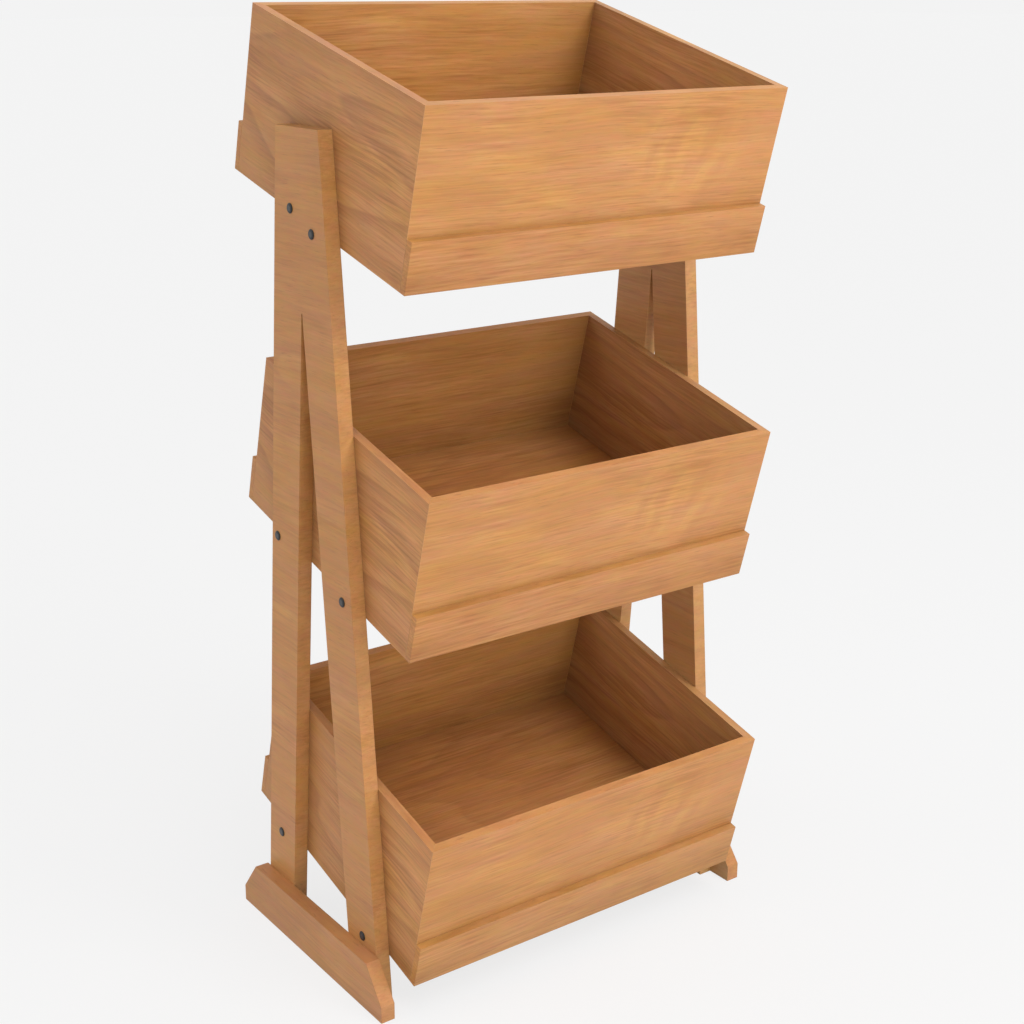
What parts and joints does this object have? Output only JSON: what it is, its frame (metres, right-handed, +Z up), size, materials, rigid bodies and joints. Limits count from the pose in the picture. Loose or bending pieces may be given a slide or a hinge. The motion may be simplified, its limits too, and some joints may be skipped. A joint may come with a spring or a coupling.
{
  "type": "a-frame display rack",
  "caption": "Free-standing wooden A-frame rack with open crates tilted to the front, bolted one above another between splayed side frames that stand on foot bars, for displaying goods.",
  "frame": {"origin": "on the ground, under the centre of the rack's bounding box", "axes": "+Z up, +X to the right as seen from the front, -Y to the front, where the crates are lower"},
  "size_m": [0.6312, 0.4532, 1.2691],
  "materials": {
    "panel_wood": "satin clear-coated honey-brown hardwood",
    "foot_wood": "satin clear-coated honey-brown hardwood",
    "wall_wood": "satin clear-coated honey-brown hardwood",
    "floor_wood": "satin clear-coated honey-brown wood panel",
    "lip_wood": "satin clear-coated honey-brown hardwood",
    "dowel_wood": "raw beech",
    "black_steel": "black oxide, satin",
    "zinc_steel": "zinc plated"
  },
  "bodies": {
    "root": {"left_frame": "panel_wood", "right_frame": "panel_wood", "left_foot": "foot_wood", "right_foot": "foot_wood", "bottom_crate_front_wall": "wall_wood", "bottom_crate_back_wall": "wall_wood", "bottom_crate_left_wall": "wall_wood", "bottom_crate_right_wall": "wall_wood", "bottom_crate_floor": "floor_wood", "bottom_crate_front_lip": "lip_wood", "bottom_crate_back_lip": "lip_wood", "middle_crate_front_wall": "wall_wood", "middle_crate_back_wall": "wall_wood", "middle_crate_left_wall": "wall_wood", "middle_crate_right_wall": "wall_wood", "middle_crate_floor": "floor_wood", "middle_crate_front_lip": "lip_wood", "middle_crate_back_lip": "lip_wood", "top_crate_front_wall": "wall_wood", "top_crate_back_wall": "wall_wood", "top_crate_left_wall": "wall_wood", "top_crate_right_wall": "wall_wood", "top_crate_floor": "floor_wood", "top_crate_front_lip": "lip_wood", "top_crate_back_lip": "lip_wood", "left_bottom_front_bolt": "black_steel", "left_bottom_rear_bolt": "black_steel", "left_middle_front_bolt": "black_steel", "left_middle_rear_bolt": "black_steel", "left_top_front_bolt": "black_steel", "left_top_rear_bolt": "black_steel", "right_bottom_front_bolt": "black_steel", "right_bottom_rear_bolt": "black_steel", "right_middle_front_bolt": "black_steel", "right_middle_rear_bolt": "black_steel", "right_top_front_bolt": "black_steel", "right_top_rear_bolt": "black_steel", "left_bottom_front_nut": "zinc_steel", "left_bottom_rear_nut": "zinc_steel", "left_middle_front_nut": "zinc_steel", "left_middle_rear_nut": "zinc_steel", "left_top_front_nut": "zinc_steel", "left_top_rear_nut": "zinc_steel", "right_bottom_front_nut": "zinc_steel", "right_bottom_rear_nut": "zinc_steel", "right_middle_front_nut": "zinc_steel", "right_middle_rear_nut": "zinc_steel", "right_top_front_nut": "zinc_steel", "right_top_rear_nut": "zinc_steel", "left_front_lower_dowel": "dowel_wood", "left_front_upper_dowel": "dowel_wood", "left_rear_lower_dowel": "dowel_wood", "left_rear_upper_dowel": "dowel_wood", "right_front_lower_dowel": "dowel_wood", "right_front_upper_dowel": "dowel_wood", "right_rear_lower_dowel": "dowel_wood", "right_rear_upper_dowel": "dowel_wood"}
  },
  "joints": []
}
